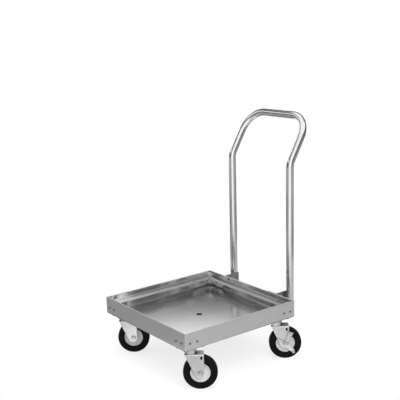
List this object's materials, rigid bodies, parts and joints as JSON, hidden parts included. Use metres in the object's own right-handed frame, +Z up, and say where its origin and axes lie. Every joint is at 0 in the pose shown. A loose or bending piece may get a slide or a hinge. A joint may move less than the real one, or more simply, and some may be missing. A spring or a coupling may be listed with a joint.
{
  "type": "dish rack dolly",
  "caption": "Low square steel tray on swivel casters with a tall bent tube push handle, for moving stacked dish racks.",
  "frame": {"origin": "on the floor, under the middle of the whole object's box at rest", "axes": "+Z up, +Y to the rear where the handle stands, +X to the right seen from the front"},
  "size_m": [0.559, 0.715, 0.943],
  "materials": {
    "tray_sheet": "brushed stainless sheet",
    "handle_tube": "polished stainless tube",
    "bracket_plate": "plain stainless plate",
    "caster_steel": "bright zinc plate",
    "fastener": "bright zinc plate",
    "hub": "moulded light grey",
    "tyre": "black rubber"
  },
  "bodies": {
    "frame": {"wall_front": "tray_sheet", "wall_right": "tray_sheet", "wall_rear": "tray_sheet", "wall_left": "tray_sheet", "ledge_front": "tray_sheet", "ledge_right": "tray_sheet", "ledge_rear": "tray_sheet", "ledge_left": "tray_sheet", "floor_pan": "tray_sheet", "corner_bracket_front_left": "bracket_plate", "corner_bracket_front_right": "bracket_plate", "corner_bracket_rear_right": "bracket_plate", "corner_bracket_rear_left": "bracket_plate", "corner_bolts": "fastener", "corner_nuts": "fastener", "handle_tube": "handle_tube", "handle_bracket_left": "bracket_plate", "handle_bracket_right": "bracket_plate", "handle_welds": "bracket_plate", "handle_bolts": "fastener", "handle_nuts": "fastener", "caster_plate_front_left": "caster_steel", "caster_plate_front_right": "caster_steel", "caster_plate_rear_right": "caster_steel", "caster_plate_rear_left": "caster_steel", "kingpins": "fastener", "swivel_balls": "fastener", "plate_bolts": "fastener", "plate_nuts": "fastener"},
    "fork_front_left": {"fork_front_left": "caster_steel", "axle_front_left": "fastener", "bush_front_left": "fastener"},
    "wheel_front_left": {"hub_front_left": "hub", "tyre_front_left": "tyre"},
    "fork_front_right": {"fork_front_right": "caster_steel", "axle_front_right": "fastener", "bush_front_right": "fastener"},
    "wheel_front_right": {"hub_front_right": "hub", "tyre_front_right": "tyre"},
    "fork_rear_right": {"fork_rear_right": "caster_steel", "axle_rear_right": "fastener", "bush_rear_right": "fastener"},
    "wheel_rear_right": {"hub_rear_right": "hub", "tyre_rear_right": "tyre"},
    "brake_rear_right": {"brake_lever_rear_right": "caster_steel"},
    "fork_rear_left": {"fork_rear_left": "caster_steel", "axle_rear_left": "fastener", "bush_rear_left": "fastener"},
    "wheel_rear_left": {"hub_rear_left": "hub", "tyre_rear_left": "tyre"},
    "brake_rear_left": {"brake_lever_rear_left": "caster_steel"}
  },
  "joints": [
    {"name": "swivel_front_left", "type": "hinge", "parent": "frame", "child": "fork_front_left", "pos_m": [-0.23311, -0.30008, 0.149], "axis": [0, 0, 1], "continuous": true},
    {"name": "wheel_spin_front_left", "type": "hinge", "parent": "fork_front_left", "child": "wheel_front_left", "pos_m": [-0.21218, -0.27328, 0.0635], "axis": [0.788, -0.6157, 0], "continuous": true},
    {"name": "swivel_front_right", "type": "hinge", "parent": "frame", "child": "fork_front_right", "pos_m": [0.20889, -0.30008, 0.149], "axis": [0, 0, 1], "continuous": true},
    {"name": "wheel_spin_front_right", "type": "hinge", "parent": "fork_front_right", "child": "wheel_front_right", "pos_m": [0.22982, -0.27328, 0.0635], "axis": [0.788, -0.6157, 0], "continuous": true},
    {"name": "swivel_rear_right", "type": "hinge", "parent": "frame", "child": "fork_rear_right", "pos_m": [0.20889, 0.11992, 0.149], "axis": [0, 0, 1], "continuous": true},
    {"name": "wheel_spin_rear_right", "type": "hinge", "parent": "fork_rear_right", "child": "wheel_rear_right", "pos_m": [0.22982, 0.14672, 0.0635], "axis": [0.788, -0.6157, 0], "continuous": true},
    {"name": "brake_rear_right", "type": "hinge", "parent": "fork_rear_right", "child": "brake_rear_right", "pos_m": [0.22982, 0.14672, 0.0635], "axis": [0.788, -0.6157, 0], "range_deg": [-20, 0]},
    {"name": "swivel_rear_left", "type": "hinge", "parent": "frame", "child": "fork_rear_left", "pos_m": [-0.23311, 0.11992, 0.149], "axis": [0, 0, 1], "continuous": true},
    {"name": "wheel_spin_rear_left", "type": "hinge", "parent": "fork_rear_left", "child": "wheel_rear_left", "pos_m": [-0.21218, 0.14672, 0.0635], "axis": [0.788, -0.6157, 0], "continuous": true},
    {"name": "brake_rear_left", "type": "hinge", "parent": "fork_rear_left", "child": "brake_rear_left", "pos_m": [-0.21218, 0.14672, 0.0635], "axis": [0.788, -0.6157, 0], "range_deg": [-20, 0]}
  ]
}
